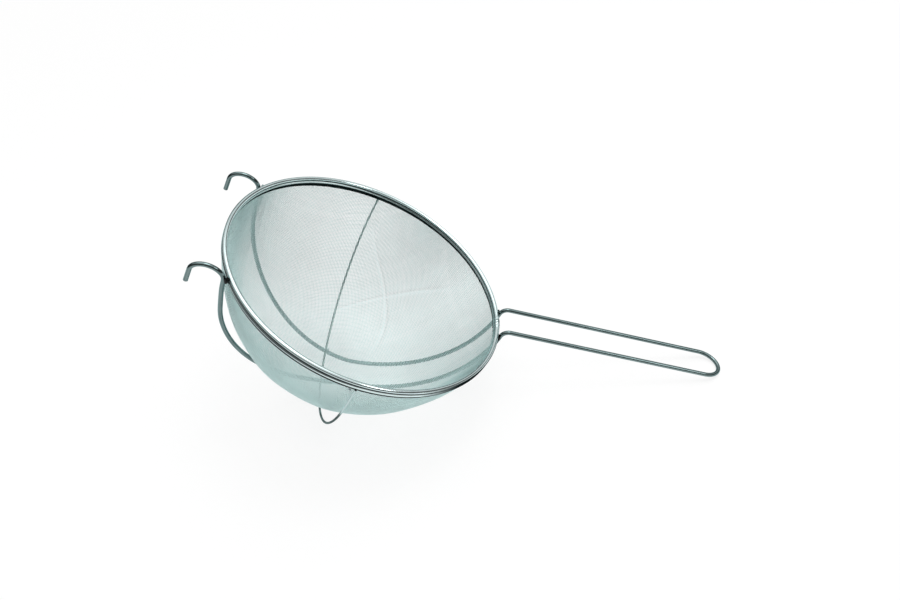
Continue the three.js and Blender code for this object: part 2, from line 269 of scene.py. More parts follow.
def steel(name, lines_scale, spots_scale, colours, gloss_range, bump, marks="", edge=STEEL_EDGE):
    """Bare steel with fine lines along the piece, dull spots and, if named, one kind of marks: painted
    shade in creases, painted highlight and shade on folds, or darker patches.
    """
    dark, pale = colours
    material = bpy.data.materials.new(name)
    tree = nodes_of(material)
    along = put(tree, "ShaderNodeAttribute", attribute_name="along")
    place = put(tree, "ShaderNodeTexCoord")
    lines = stretched_noise(tree, along.outputs["Vector"], lines_scale, LINE_DETAIL)
    spots = stretched_noise(tree, place.outputs["Object"], (spots_scale,) * 3, SPOT_DETAIL)
    both = put(tree, "ShaderNodeMath", operation="MULTIPLY_ADD")
    both.inputs[1].default_value = LINE_SHARE
    join(tree, lines, both.inputs[0])
    lessened = put(tree, "ShaderNodeMath", operation="MULTIPLY")
    lessened.inputs[1].default_value = 1 - LINE_SHARE
    join(tree, spots, lessened.inputs[0])
    join(tree, lessened.outputs[0], both.inputs[2])
    colour = ramp(tree, both.outputs[0], [(DARK_AT, dark), (PALE_AT, pale)])
    gloss = spread(tree, both.outputs[0], *gloss_range)
    surface = put(tree, "ShaderNodeBsdfPrincipled", Metallic=1.0)
    surface.inputs["Specular Tint"].default_value = edge
    if marks:
        marked = put(tree, "ShaderNodeAttribute", attribute_name=marks).outputs["Fac"]
    # crease marks: painted shade, a matt near-black in place of the metal
    if marks == "crease":
        colour = blend_colour(tree, marked, colour, ramp(tree, spots, PAINTED_SHADE_TONES))
        bare = put(tree, "ShaderNodeMath", operation="SUBTRACT", use_clamp=True)
        bare.inputs[0].default_value = 1.0
        join(tree, marked, bare.inputs[1])
        join(tree, bare.outputs[0], surface.inputs["Metallic"])
        surface.inputs["Specular IOR Level"].default_value = 0.0
    # fold marks: painted highlight on the crest, painted shade in the valley
    elif marks == "fold":
        colour = blend_colour(tree, marked, colour, ramp(tree, spots, PAINTED_CREST_LIGHT))
        valley_shade = put(tree, "ShaderNodeMath", operation="MULTIPLY", use_clamp=True)
        valley_shade.inputs[1].default_value = -VALLEY_SHADE_SHARE
        join(tree, marked, valley_shade.inputs[0])
        colour = blend_colour(tree, valley_shade.outputs[0], colour, ramp(tree, spots, PAINTED_VALLEY_SHADE))
    elif marks == "dark_patches":
        patchy = put(tree, "ShaderNodeMath", operation="MULTIPLY")
        join(tree, marked, patchy.inputs[0])
        join(tree, spread(tree, spots, *PATCH_RANGE), patchy.inputs[1])
        tint = ramp(tree, patchy.outputs[0], [(0.0, dark), *PATCH_TINTS])
        share = spread(tree, patchy.outputs[0], 0.0, 1.0, *PATCH_SHOWS)
        colour = blend_colour(tree, share, colour, tint)
        gloss = duller(tree, gloss, share, PATCH_DULL)
    relief = put(tree, "ShaderNodeBump", Strength=bump, Distance=RELIEF)
    join(tree, lines, relief.inputs["Height"])
    join(tree, colour, surface.inputs["Base Color"])
    join(tree, gloss, surface.inputs["Roughness"])
    join(tree, relief.outputs["Normal"], surface.inputs["Normal"])
    output = put(tree, "ShaderNodeOutputMaterial")
    join(tree, surface.outputs["BSDF"], output.inputs["Surface"])
    return material


WELD_SPOTS = 520.0
WELD_SPOT_DETAIL = 4.0
WELD_SPOT_ROUGH = 0.65
WELD_GLOSS = (0.62, 0.38)
WELD_BUMP = 0.5
WELD_METAL = 0.8
SCALE_AT = 0.3
SCORCHED_AT = 0.5
BARE_AT = 0.72


def weld_steel(name, scale, scorched, bare):
    """Weld metal: dark scale with scorched and bare metal where it shows through."""
    material = bpy.data.materials.new(name)
    tree = nodes_of(material)
    place = put(tree, "ShaderNodeTexCoord")
    fine = (WELD_SPOTS,) * 3
    spots = stretched_noise(tree, place.outputs["Object"], fine, WELD_SPOT_DETAIL, WELD_SPOT_ROUGH)
    colour = ramp(tree, spots, [(SCALE_AT, scale), (SCORCHED_AT, scorched), (BARE_AT, bare)])
    relief = put(tree, "ShaderNodeBump", Strength=WELD_BUMP, Distance=RELIEF)
    join(tree, spots, relief.inputs["Height"])
    surface = put(tree, "ShaderNodeBsdfPrincipled", Metallic=WELD_METAL)
    join(tree, colour, surface.inputs["Base Color"])
    join(tree, spread(tree, spots, *WELD_GLOSS), surface.inputs["Roughness"])
    join(tree, relief.outputs["Normal"], surface.inputs["Normal"])
    output = put(tree, "ShaderNodeOutputMaterial")
    join(tree, surface.outputs["BSDF"], output.inputs["Surface"])
    return material


# One stainless steel throughout: the drawn wire's base colour is darkened as painted shade, and the rim's
# and cloth's are lightened as painted light, in place of how the surroundings reflect in each
drawn_wire_steel = steel(
    "drawn_wire_steel",
    lines_scale=(9.0, 2.4, 2.4),
    spots_scale=60.0,
    colours=((0.12, 0.165, 0.165), (0.21, 0.28, 0.28)),
    gloss_range=(0.08, 0.15),
    bump=0.06,
)
thin_wire_steel = steel(
    "thin_wire_steel",
    lines_scale=(12.0, 2.4, 2.4),
    spots_scale=60.0,
    colours=((0.42, 0.52, 0.52), (0.56, 0.68, 0.68)),
    gloss_range=(0.12, 0.2),
    bump=0.1,
    marks="dark_patches",
)
rolled_rim_steel = steel(
    "rolled_rim_steel",
    lines_scale=(30.0, 900.0, 900.0),
    spots_scale=70.0,
    colours=((0.58, 0.70, 0.70), (0.78, 0.90, 0.90)),
    gloss_range=(0.10, 0.20),
    bump=0.04,
    marks="crease",
)
woven_cloth_steel = steel(
    "woven_cloth_steel",
    lines_scale=(60.0, 1.5, 1.5),
    spots_scale=45.0,
    colours=((0.59, 0.74, 0.73), (0.725, 0.91, 0.90)),
    gloss_range=(0.36, 0.5),
    bump=0.08,
    marks="fold",
    edge=CLOTH_EDGE,
)
# Near-black welds: real weld scale plus painted shade, standing in for the shadow where the wire bends
# against the rim
burnt_and_shaded_weld_steel = weld_steel(
    "burnt_and_shaded_weld_steel", scale=(0.003, 0.004, 0.004), scorched=(0.01, 0.012, 0.012), bare=(0.1, 0.12, 0.12)
)
plain_weld_steel = weld_steel(
    "plain_weld_steel", scale=(0.26, 0.34, 0.34), scorched=(0.40, 0.50, 0.50), bare=(0.52, 0.64, 0.64)
)


# Pieces
def finish_piece(name, mesh, material, nodes):
    """Links a finished mesh as one piece of the sieve."""
    piece = bpy.data.objects.new(name, mesh)
    bpy.context.collection.objects.link(piece)
    mesh.materials.clear()
    mesh.materials.append(material)
    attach(piece, "root")
    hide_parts(*nodes)


NEXT_ALONG = 0.37
NEXT_ASIDE = 5.0


def sides_of(round_steps):
    """How many sides a curve's round section has."""
    return 4 + 2 * round_steps


def wires_mesh(name, runs, diameter, round_steps, radii=None):
    """Round wires along runs of points in metres, closed at both ends.

    Each point knows its place along and around its wire, moved on from wire to wire so that no two
    wires have the same marks.
    """
    curve = bpy.data.curves.new(name + "_path", "CURVE")
    curve.dimensions = "3D"
    curve.bevel_depth = diameter / 2 * MM
    curve.bevel_resolution = round_steps
    sides = sides_of(round_steps)
    for run in runs:
        spline = curve.splines.new("POLY")
        spline.points.add(len(run) - 1)
        spline.points.foreach_set("co", np.column_stack([run, np.ones(len(run))]).ravel())
        if radii is not None:
            spline.points.foreach_set("radius", radii)
    holder = bpy.data.objects.new(name + "_path", curve)
    mesh = bpy.data.meshes.new_from_object(holder)
    mesh.name = name
    bpy.data.objects.remove(holder)
    bpy.data.curves.remove(curve)
    places = []
    for index, run in enumerate(runs):
        lengths = np.linalg.norm(np.diff(run, axis=0), axis=1)
        distance = np.append(0.0, np.cumsum(lengths)) + NEXT_ALONG * index
        turn = np.arange(sides) * 2 * math.pi / sides
        ring = np.stack([np.zeros(sides), np.cos(turn) + NEXT_ASIDE * index, np.sin(turn)], 1)
        place = np.repeat(ring[None], len(run), 0)
        place[:, :, 0] = distance[:, None]
        places.append(place.reshape(-1, 3))
    along = mesh.attributes.new("along", "FLOAT_VECTOR", "POINT")
    along.data.foreach_set("vector", np.concatenate(places).ravel())
    shape = bmesh.new()
    shape.from_mesh(mesh)
    open_edges = [edge for edge in shape.edges if edge.is_boundary]
    bmesh.ops.holes_fill(shape, edges=open_edges, sides=0)
    bmesh.ops.recalc_face_normals(shape, faces=shape.faces)
    shape.to_mesh(mesh)
    shape.free()
    return mesh


def smooth_but_sharp(mesh, degrees):
    """Shades the mesh smooth but for edges that bend by more than the angle."""
    mesh.shade_smooth()
    mesh.set_sharp_from_angle(angle=math.radians(degrees))


def dark_patch_marks(mesh):
    """How much each point of the thin wire darkens and dulls in patches: not at all at its right end, fully
    towards its left.
    """
    points = np.empty(len(mesh.vertices) * 3)
    mesh.vertices.foreach_get("co", points)
    to_left = (points[1::3] / MM - PATCH_FREE_END) / PATCH_FADE
    dark_patches = mesh.attributes.new("dark_patches", "FLOAT", "POINT")
    dark_patches.data.foreach_set("value", PATCH_DARKNESS * np.clip(to_left, 0.0, 1.0))


# Frame wire: one wire from hook to hook by way of the handle
def even_steps(points, step):
    """The same path with a point about every step of its length."""
    points = np.asarray(points, float)
    run = np.append(0.0, np.cumsum(np.linalg.norm(np.diff(points, axis=0), axis=1)))
    places = np.linspace(0.0, run[-1], int(run[-1] / step) + 1)
    return np.column_stack([np.interp(places, run, points[:, axis]) for axis in range(3)])


def stay_place(turn):
    """A place on the left stay, with turn 0 at its lowest and below 0 on the hook's side."""
    if turn < 0:
        x, z = HOOK_FOOT * math.sin(-turn), -STAY_DEPTH * math.cos(turn)
    else:
        x, z = HANDLE_RUN * math.sin(turn), HANDLE_BEND_HEIGHT - HANDLE_DROP * math.cos(turn)
    spread_share = max(0.0, (STAY_SPREAD_START - x) / (STAY_SPREAD_START - HOOK_FOOT))
    y = HANDLE_HALF + (HOOK_HALF - HANDLE_HALF) * spread_share**STAY_SPREAD_POWER
    if turn < 0:
        x += STAY_TUCK * math.exp(-(((z + STAY_TUCK_DEPTH) / STAY_TUCK_REACH) ** 2))
    return (x, y, z)


def hook_run():
    """One hook's path, from its tip to its foot at the rim."""
    outer = HOOK_FOOT - 2 * HOOK_HALF_GAP
    points = [(outer, HOOK_HALF, HOOK_START - HOOK_TIP), (outer, HOOK_HALF, HOOK_BEND)]
    for turn in np.linspace(math.pi, 0.0, HOOK_POINTS)[1:]:
        across = HOOK_FOOT - HOOK_HALF_GAP + HOOK_HALF_GAP * math.cos(turn)
        points.append((across, HOOK_HALF, HOOK_BEND + HOOK_RISE * math.sin(turn)))
    return points


def handle_run():
    """Half of the handle: the bend at the rim, the left leg and the bow to its middle."""
    bend_x = HANDLE_RUN + HANDLE_BEND_RADIUS
    bend_end = math.pi / 2 + HANDLE_SLOPE
    points = []
    for turn in np.linspace(math.pi, bend_end, HANDLE_BEND_POINTS)[1:]:
        x = bend_x + HANDLE_BEND_RADIUS * math.cos(turn)
        z = HANDLE_BEND_HEIGHT + HANDLE_BEND_RADIUS * math.sin(turn)
        points.append((x, HANDLE_HALF, z))
    leg_x, _, leg_z = points[-1]
    slope = math.tan(HANDLE_SLOPE)
    bow_x = HANDLE_TIP - HANDLE_BOW * math.cos(HANDLE_SLOPE)
    for turn in np.linspace(0.0, math.pi / 2, HANDLE_BOW_POINTS):
        x = bow_x + HANDLE_BOW * math.cos(HANDLE_SLOPE) * math.sin(turn)
        points.append((x, HANDLE_HALF * math.cos(turn), leg_z + (x - leg_x) * slope))
    return points


def frame_half():
    """The left half of the frame wire, from the hook's tip to the middle of the handle's bow."""
    stay_start = -math.acos(-HOOK_START / STAY_DEPTH)
    stay = [stay_place(turn) for turn in np.linspace(stay_start, math.pi / 2, STAY_POINTS)]
    return even_steps(hook_run() + stay + handle_run(), FRAME_STEP)


def cut_ends(path):
    """The path with a point added near each end, and a width for each point that chamfers the ends."""
    near_first = path[0] + (path[1] - path[0]) * CHAMFER_SHARE
    near_last = path[-1] + (path[-2] - path[-1]) * CHAMFER_SHARE
    stepped = np.vstack([path[0], near_first, path[1:-1], near_last, path[-1]])
    widths = np.ones(len(stepped))
    widths[0] = widths[-1] = 1 - CHAMFER / (FRAME_WIRE / 2)
    return stepped, widths


left_half = frame_half()
whole = np.vstack([left_half, (left_half * (1, -1, 1))[-2::-1]])
frame_path, frame_widths = cut_ends(whole)
frame_mesh = wires_mesh("frame_wire", [leaned(frame_path)], FRAME_WIRE, FRAME_ROUND, frame_widths)
smooth_but_sharp(frame_mesh, WIRE_SHARP)
FRAME_NODES = ["handle_loop", "stay_left", "stay_right", "hook_left", "hook_right"]
finish_piece("frame_wire", frame_mesh, drawn_wire_steel, FRAME_NODES)


# Cross wire: a thinner wire that hangs under the bowl from the rim's two sides
def stay_turn_at(x):
    """The turn at which a stay has come to x."""
    return -math.asin(x / HOOK_FOOT) if x < 0 else math.asin(x / HANDLE_RUN)


def crossing_at(side):
    """Where the askew wire crosses one stay: side 1 is the left and -1 the right."""
    y = stay_place(stay_turn_at(CROSS_OFFSET))[1]
    x = CROSS_OFFSET / math.cos(CROSS_TURN) - side * y * math.tan(CROSS_TURN)
    return stay_place(stay_turn_at(x))


def cross_run():
    """The cross wire's path: a leg down from the rim, a bow that touches the stays, and a leg up."""
    half_span = math.sqrt(CROSS_RING**2 - CROSS_OFFSET**2)
    spring = CROSS_TOP - CROSS_LEG
    drops = []
    for side in (1, -1):
        _, y, z = crossing_at(side)
        drops.append((spring - (z + CROSSING_RISE)) / math.sqrt(1 - (y / half_span) ** 2))
    drop = min(drops)
    points = [(CROSS_OFFSET, half_span, CROSS_TOP)]
    for turn in np.linspace(0.0, math.pi, CROSS_POINTS):
        points.append((CROSS_OFFSET, half_span * math.cos(turn), spring - drop * math.sin(turn)))
    points.append((CROSS_OFFSET, -half_span, CROSS_TOP))
    askew = np.array(Matrix.Rotation(CROSS_TURN, 3, "Z"))
    return even_steps(points, CROSS_STEP) @ askew.T


cross_mesh = wires_mesh("cross_wire_round", [leaned(cross_run())], CROSS_WIRE, CROSS_ROUND)
smooth_but_sharp(cross_mesh, WIRE_SHARP)
dark_patch_marks(cross_mesh)
finish_piece("cross_wire_round", cross_mesh, thin_wire_steel, ["cross_wire"])


# Rim: a strip folded over the cloth's edge and crimped, its two ends meeting between the handle's legs
def through(points, steps):
    """A smooth line through the points."""
    points = [Vector(p) for p in points]
    padded = [2 * points[0] - points[1], *points, 2 * points[-1] - points[-2]]
    line = []
    for a, b, c, d in zip(padded, padded[1:], padded[2:], padded[3:]):
        for step in range(steps):
            t = step / steps
            bend = (2 * a - 5 * b + 4 * c - d) + t * (3 * (b - c) + d - a)
            line.append(b + t / 2 * ((c - a) + t * bend))
    return [*line, points[-1]]


def rim_section():
    """The folded strip's outline, outer face first, as places across and up."""
    left = [(-x, z) for x, z in RIM_SECTION[:-1]]
    line = through(left + [RIM_SECTION[-1]] + RIM_SECTION[-2::-1], RIM_CURVE_STEPS)
    outer, inner = [], []
    for index, place in enumerate(line):
        ahead = line[min(index + 1, len(line) - 1)]
        behind = line[max(index - 1, 0)]
        normal = (ahead - behind).orthogonal().normalized()
        outer.append(place + normal * STRIP_THICKNESS / 2)
        inner.append(place - normal * STRIP_THICKNESS / 2)
    return outer + inner[::-1]


def rising(value, start, end):
    """0 before start, 1 past end and even between them."""
    return min(1.0, max(0.0, (value - start) / (end - start)))


def crease_share(height, out, around):
    """How much painted shade the rim has at a height, a place out from the cloth and an angle around.

    It has painted shade in the groove and under the lower bead, less of it outside on the hooks' side, and
    a painted dark reflection along its outer edge at the right of the handle.
    """
    inside = out < 0
    groove_half = GROOVE_HALF_INSIDE if inside else GROOVE_HALF
    groove = math.exp(-(((height - GROOVE_MIDDLE) / groove_half) ** 4))
    lip_top = LIP_SHADE_TOP_INSIDE if inside else LIP_SHADE_TOP
    under = rising(-height, -lip_top, LIP_SHADE_DEPTH - lip_top)
    away_from_hooks = rising(abs(around - math.pi), HOOK_SIDE_TURN, 2 * HOOK_SIDE_TURN)
    kept = 1.0 if inside else HOOK_SIDE_SHADE + (1 - HOOK_SIDE_SHADE) * away_from_hooks
    from_dark_edge = abs((around - DARK_EDGE_MIDDLE + math.pi) % (2 * math.pi) - math.pi)
    dark_edge = rising(-from_dark_edge, -DARK_EDGE_TURN, DARK_EDGE_FADE - DARK_EDGE_TURN)
    outermost = rising(out, DARK_EDGE_OUT, DARK_EDGE_OUT + DARK_EDGE_SHARP)
    return max(max(groove, under) * kept, dark_edge * outermost)


def shadow_lip(shape):
    """The strip's inner edge hangs a little lower along the rim's left side: the lowered part all takes the
    painted shade, a dark strip standing in for the shadow beneath the rim.
    """
    for vert in shape.verts:
        out = math.hypot(vert.co.x, vert.co.y) - CLOTH_RADIUS
        if out < 0:
            around = math.atan2(vert.co.y, vert.co.x) % (2 * math.pi)
            aside = min(1.0, abs(around - SHADOW_LIP_MIDDLE) / SHADOW_LIP_TURN)
            share = rising(-vert.co.z, -LIP_SHADE_TOP_INSIDE, -RIM_BOTTOM)
            vert.co.z -= SHADOW_LIP_DROP * share * (1.0 + math.cos(math.pi * aside)) / 2


def lumpy_seam(shape):
    """Solder runs over the strip's two ends: finer faces there, pushed out a little unevenly."""

    def from_seam(place):
        return abs(math.atan2(place.y, place.x)) * CLOTH_RADIUS

    rings = []
    for edge in shape.edges:
        first, second = (vert.co for vert in edge.verts)
        near = max(from_seam(first), from_seam(second)) < SEAM_REACH
        level = abs(first.z - second.z) < SAME_HEIGHT
        if near and level and abs(from_seam(first) - from_seam(second)) > SEAM_GAP:
            rings.append(edge)
    bmesh.ops.subdivide_edges(shape, edges=rings, cuts=SEAM_CUTS)
    shape.normal_update()
    for vert in shape.verts:
        away = from_seam(vert.co) / SEAM_REACH
        if away < 1.0:
            lump = noise.noise(vert.co / SEAM_LUMP_SIZE)
            vert.co += vert.normal * SEAM_LUMP * (1.0 - away**2) * max(0.0, SEAM_LUMP_BASE + lump)


def rim_band():
    """The strip's section spun round the cloth's edge, with its crease marks of painted shade."""
    shape = bmesh.new()
    ring = [shape.verts.new((CLOTH_RADIUS + p.x, 0.0, p.y)) for p in rim_section()]
    edges = [shape.edges.new(pair) for pair in zip(ring, ring[1:] + ring[:1])]
    gap = SEAM_GAP / RIM_OUTER_RADIUS
    bmesh.ops.rotate(shape, verts=ring, cent=(0, 0, 0), matrix=Matrix.Rotation(gap / 2, 3, "Z"))
    whole_turn = 2 * math.pi - gap
    bmesh.ops.spin(
        shape, geom=ring + edges, cent=(0, 0, 0), axis=(0, 0, 1), angle=whole_turn, steps=RIM_STEPS
    )
    ends = [edge for edge in shape.edges if edge.is_boundary]
    capped = bmesh.ops.holes_fill(shape, edges=ends, sides=0)
    bmesh.ops.triangulate(shape, faces=capped["faces"])
    bmesh.ops.recalc_face_normals(shape, faces=shape.faces)
    shadow_lip(shape)
    lumpy_seam(shape)
    along = shape.verts.layers.float_vector.new("along")
    # crease: how much painted shade each point of the rim gets
    crease = shape.verts.layers.float.new("crease")
    for vert in shape.verts:
        around = math.atan2(vert.co.y, vert.co.x) % (2 * math.pi)
        out = math.hypot(vert.co.x, vert.co.y) - CLOTH_RADIUS
        vert[along] = Vector((around * CLOTH_RADIUS, out, vert.co.z)) * MM
        vert[crease] = crease_share(vert.co.z, out, around)
    bmesh.ops.transform(shape, matrix=LEANED, verts=shape.verts)
    mesh = bpy.data.meshes.new("rim_band")
    shape.to_mesh(mesh)
    shape.free()
    return mesh


rim_mesh = rim_band()
smooth_but_sharp(rim_mesh, RIM_SHARP)
finish_piece("rim_band", rim_mesh, rolled_rim_steel, ["rim_strip"])


# Bowl: wire cloth pressed over a former. The wires keep their spacing, and the squares between them
# shear to diamonds on the way up the diagonals.
def bowl_line():
    """The bowl's side line by its own length: length, radius and height."""
    turn = np.linspace(0.0, math.pi / 2, BOWL_LINE_POINTS)
    radius = CLOTH_RADIUS * np.sin(turn) ** (2 / BOWL_BOTTOM_POWER)
    height = RIM_BOTTOM - BOWL_DEPTH * np.cos(turn) ** (2 / BOWL_SIDE_POWER)
    radius = np.append(radius, [CLOTH_RADIUS, CLOTH_RADIUS])
    height = np.append(height, [CLOTH_TOP, CLOTH_TOP + BOWL_DEPTH])
    length = np.append(0.0, np.cumsum(np.hypot(np.diff(radius), np.diff(height))))
    return length, radius, height


LINE_LENGTH, LINE_RADIUS, LINE_HEIGHT = bowl_line()
CLOTH_REACH = LINE_LENGTH[-2]
SETTLE_ROUNDS = 6
SETTLE_NUDGE = 1e-3
SETTLE_STEP = 0.5
TINY = 1e-9
NET_SPARE = 1.05
SHORTEST_END = 0.1
WAVE_NUDGE = 0.05


def on_bowl(flat):
    """Places on the bowl for flat places, which give the length from the bottom's middle and the way."""
    length = np.maximum(np.linalg.norm(flat, axis=-1), TINY)
    radius = np.interp(length, LINE_LENGTH, LINE_RADIUS)
    height = np.interp(length, LINE_LENGTH, LINE_HEIGHT)
    return np.stack([flat[..., 0] / length * radius, flat[..., 1] / length * radius, height], -1)


def settle(guess, first, second, pitch):
    """Moves each guess until it is one pitch from both neighbours on the bowl."""
    nudge = SETTLE_NUDGE
    first, second = on_bowl(first), on_bowl(second)
    for _ in range(SETTLE_ROUNDS):
        here = on_bowl(guess)
        along_u = (on_bowl(guess + (nudge, 0.0)) - here) / nudge
        along_v = (on_bowl(guess + (0.0, nudge)) - here) / nudge
        off_first = ((here - first) ** 2).sum(1) - pitch**2
        off_second = ((here - second) ** 2).sum(1) - pitch**2
        a, b = 2 * ((here - first) * along_u).sum(1), 2 * ((here - first) * along_v).sum(1)
        c, d = 2 * ((here - second) * along_u).sum(1), 2 * ((here - second) * along_v).sum(1)
        area = a * d - b * c
        step_u = (off_first * d - off_second * b) / area
        step_v = (a * off_second - c * off_first) / area
        step = np.stack([step_u, step_v], 1)
        size = np.maximum(np.linalg.norm(step, axis=1), TINY)
        guess = guess - step * np.minimum(1.0, SETTLE_STEP * pitch / size)[:, None]
    return guess


def pressed_net(pitch):
    """Flat places of the cloth's crossings in one quarter of the bowl."""
    count = int(CLOTH_REACH / pitch * NET_SPARE) + 3
    net = np.full((count + 1, count + 1, 2), np.nan)
    steps = np.arange(count + 1) * pitch
    net[:, 0] = np.stack([steps, np.zeros(count + 1)], 1)
    net[0, :] = np.stack([np.zeros(count + 1), steps], 1)
    for diagonal in range(2, 2 * count + 1):
        i = np.arange(max(1, diagonal - count), min(count, diagonal - 1) + 1)
        j = diagonal - i
        corner = net[i - 1, j - 1]
        known = np.isfinite(net[i - 1, j] + net[i, j - 1] + corner).all(1)
        known &= np.linalg.norm(corner, axis=1) < CLOTH_REACH + 2 * pitch
        if not known.any():
            break
        i, j, corner = i[known], j[known], corner[known]
        first, second = net[i - 1, j], net[i, j - 1]
        net[i, j] = settle(first + second - corner, first, second, pitch)
    return net


def clipped(flat):
    """One wire from the quarter's middle line outwards, ended at the rim."""
    length = np.linalg.norm(flat, axis=1)
    outside = np.nonzero(~(length <= CLOTH_REACH))[0]
    last = outside[0] if len(outside) else len(flat)
    if last == 0:
        return None
    kept = flat[:last]
    if last < len(flat) and np.isfinite(flat[last]).all():
        share = (CLOTH_REACH - length[last - 1]) / (length[last] - length[last - 1])
        if share > SHORTEST_END:
            kept = np.vstack([kept, flat[last - 1] + share * (flat[last] - flat[last - 1])])
    return kept


def cloth_wires(net, cross):
    """All wires one way: flat places and whether each point lies over or under the wire it crosses."""
    wires = []
    for row in range(-net.shape[0] + 1, net.shape[0]):
        line = net[:, abs(row)] if cross else net[abs(row), :]
        kept = clipped(line)
        if kept is None or len(kept) < 3:
            continue
        sign = 1.0 if row >= 0 else -1.0
        kept = kept * ((1.0, sign) if cross else (sign, 1.0))
        mirrored = kept * ((-1.0, 1.0) if cross else (1.0, -1.0))
        flat = np.vstack([mirrored[:0:-1], kept])
        steps = np.arange(len(flat)) - (len(kept) - 1)
        over = np.where((steps + row) % 2 == 0, 1.0, -1.0)
        wires.append((flat, over if cross else -over))
    return wires


def fold_share(places):
    """The two folds left from storing the cloth: above 0 on a crest and below 0 in the valley beside it,
    which in the colour give a painted highlight on the crest and painted shade in the valley.
    """
    x, y = places[:, 0], places[:, 1]
    shares = []
    for points, first, second in ((FOLD_DOWN, y, x), (FOLD_ACROSS, x, y)):
        away = second - np.polyval(np.polyfit(*zip(*points), 2), first)
        crest = np.exp(-((away / FOLD_WIDE) ** 2))
        valley = np.exp(-(((away - FOLD_VALLEY_STEP) / FOLD_WIDE) ** 2))
        shares.append(crest - FOLD_VALLEY * valley)
    down, across = shares
    from_middle = np.linalg.norm(places[:, :2] - FOLD_MIDDLE, axis=1)
    kept = np.clip((FOLD_REACH - from_middle) / FOLD_FADE, 0.0, 1.0)
    return np.where(abs(down) > abs(across), down, across) * kept


def dent(places, flat):
    """A shallow unevenness left by pressing, none beside the rim."""
    away = np.clip((CLOTH_REACH - np.linalg.norm(flat, axis=1)) / DENT_FADE, 0.0, 1.0)
    lumps = np.array([noise.noise(Vector(place) / DENT_SIZE) for place in places])
    return DENT_DEPTH * lumps * away


def laid_on_bowl(flat, over):
    """A cloth wire's path in metres, waved over and under by half a wire, and its share of the folds."""
    turn = np.array(Matrix.Rotation(CLOTH_TURN, 2))
    flat = flat @ turn.T
    nudge = WAVE_NUDGE
    here = on_bowl(flat)
    along_u = on_bowl(flat + (nudge, 0.0)) - here
    along_v = on_bowl(flat + (0.0, nudge)) - here
    normal = np.cross(along_u, along_v)
    normal /= np.linalg.norm(normal, axis=1)[:, None]
    here[:, 0] += BOWL_DRIFT * np.minimum(0.0, here[:, 2] - RIM_BOTTOM)
    folded = fold_share(here)
    raised = over * CLOTH_WIRE / 2 + FOLD_DEPTH * folded + dent(here, flat)
    return leaned(here + normal * raised[:, None]), folded


ROW_EDGE = 0.04
MAP_EDGE = 0.01


def weave_map(mesh, runs, sides):
    """A flat map in which every wire is a row of its own."""
    longest = max(len(run) for run in runs)
    ring, side, row = [], [], []
    for index, run in enumerate(runs):
        ring.append(np.repeat(np.arange(len(run)), sides))
        side.append(np.tile(np.arange(sides), len(run)))
        row.append(np.full(len(run) * sides, index))
    ring, side, row = np.concatenate(ring), np.concatenate(side), np.concatenate(row)
    corners = np.empty(len(mesh.loops), int)
    mesh.loops.foreach_get("vertex_index", corners)
    sizes = np.empty(len(mesh.polygons), int)
    mesh.polygons.foreach_get("loop_total", sizes)
    face = np.repeat(np.arange(len(sizes)), sizes)
    corner_side = side[corners].astype(float)
    wraps = np.zeros(len(sizes), bool)
    np.logical_or.at(wraps, face, corner_side == sides - 1)
    corner_side[(corner_side == 0) & wraps[face]] = sides
    across = (row[corners] + ROW_EDGE + (1 - 2 * ROW_EDGE) * corner_side / sides) / len(runs)
    length = MAP_EDGE + (1 - 2 * MAP_EDGE) * ring[corners] / longest
    places = np.stack([length, across], 1)
    layer = mesh.uv_layers.new(name="OFBake")
    layer.data.foreach_set("uv", places.ravel())


net = pressed_net(CLOTH_PITCH)
cloth_sides = sides_of(CLOTH_ROUND)
for way, cross in (("warp", True), ("weft", False)):
    wires = [laid_on_bowl(*wire) for wire in cloth_wires(net, cross)]
    share = -(-len(wires) // CLOTH_PIECES)
    for part in range(CLOTH_PIECES):
        name = f"cloth_{way}_{part + 1}"
        runs, folds = zip(*wires[part * share : (part + 1) * share])
        cloth_mesh = wires_mesh(name, runs, CLOTH_WIRE, CLOTH_ROUND)
        while cloth_mesh.uv_layers:
            cloth_mesh.uv_layers.remove(cloth_mesh.uv_layers[0])
        weave_map(cloth_mesh, runs, cloth_sides)
        # fold: painted highlight on the fold crests and painted shade beside them
        fold_marks = cloth_mesh.attributes.new("fold", "FLOAT", "POINT")
        fold_marks.data.foreach_set("value", np.repeat(np.concatenate(folds) * FOLD_TINT, cloth_sides))
        cloth_mesh.shade_smooth()
        finish_piece(name, cloth_mesh, woven_cloth_steel, ["mesh_bowl"])


# Welds: small lumps of metal that join the wires to the rim and to each other, given by their half sizes
WELD_HALF = {
    "weld_hook_left": (1.1, 1.0, 2.0),
    "weld_hook_right": (1.7, 1.6, 3.4),
    "weld_handle_left": (1.4, 1.3, 2.8),
    "weld_handle_right": (1.4, 1.3, 2.8),
    "weld_cross_left": (0.65, 1.2, 0.8),
    "weld_cross_right": (0.65, 1.2, 0.8),
    "weld_crossing_left": (1.0, 1.4, 1.2),
    "weld_crossing_right": (1.0, 1.4, 1.2),
}
# Welds given the near-black weld steel: weld scale and painted shade
BURNT_AND_SHADED_WELDS = ("weld_hook_right", "weld_handle_left", "weld_handle_right")
LUMP_SIZE = 1.7
LUMP_SEED = 7.3
RIPPLE_SIZE = 4.1
RIPPLE_SEED = 5.1
RIPPLE_SHARE = 0.5
LUMP_HEIGHT = 0.16
BEAD_FINENESS = 4


